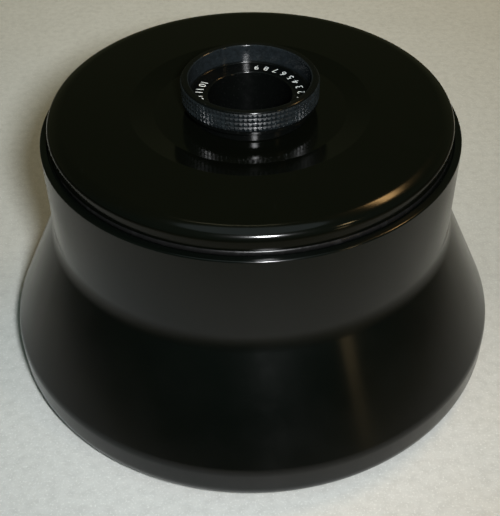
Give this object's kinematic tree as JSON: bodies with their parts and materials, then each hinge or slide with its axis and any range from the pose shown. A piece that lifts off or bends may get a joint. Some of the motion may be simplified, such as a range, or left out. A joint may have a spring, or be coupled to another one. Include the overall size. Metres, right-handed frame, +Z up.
{
  "type": "fixed angle rotor",
  "caption": "Black fixed angle centrifuge rotor: flared body with slanted tube pockets, screw-down lid with knurled open knob, and a captive screw on the drive spindle.",
  "frame": {"origin": "centre of the base, on the spin axis, in the plane that the rotor stands on", "axes": "+Z up along the spin axis; +X through the first tube pocket"},
  "size_m": [0.2156, 0.2156, 0.13],
  "materials": {
    "body_anodised": "satin black hard anodising over a turned surface",
    "lid_anodised": "gloss black anodising, lightly handled",
    "knob_anodised": "satin black anodising over turned and knurled faces",
    "stainless": "turned stainless steel",
    "spring_steel": "dark spring steel",
    "nickel": "nickel plated",
    "seal_rubber": "matt black rubber with a film of grease",
    "washer_plastic": "white low-friction plastic"
  },
  "bodies": {
    "rotor": {"rotor_body": "body_anodised", "drive_hub": "stainless", "hub_screws": "stainless", "hub_dowels": "stainless", "drive_pins": "stainless", "marker_magnets": "nickel", "hub_seal": "seal_rubber", "tie_down_seal": "seal_rubber"},
    "tie_down": {"tie_down_screw": "stainless", "tie_down_washer": "stainless", "tie_down_retainer": "spring_steel"},
    "lid": {"lid": "lid_anodised", "lid_seal": "seal_rubber"},
    "knob": {"lid_knob": "knob_anodised", "knob_seal": "seal_rubber", "sleeve_seal": "seal_rubber", "knob_washer": "washer_plastic", "knob_retainer": "spring_steel"}
  },
  "joints": [
    {"name": "lid_lift", "type": "slide", "parent": "rotor", "child": "lid", "axis": [0, 0, 1], "range_m": [0, 0.15]},
    {"name": "knob_turn", "type": "hinge", "parent": "lid", "child": "knob", "pos_m": [0, 0, 0.12], "axis": [0, 0, 1], "continuous": true},
    {"name": "tie_down_turn", "type": "hinge", "parent": "rotor", "child": "tie_down", "pos_m": [0, 0, 0.047], "axis": [0, 0, 1], "continuous": true}
  ]
}
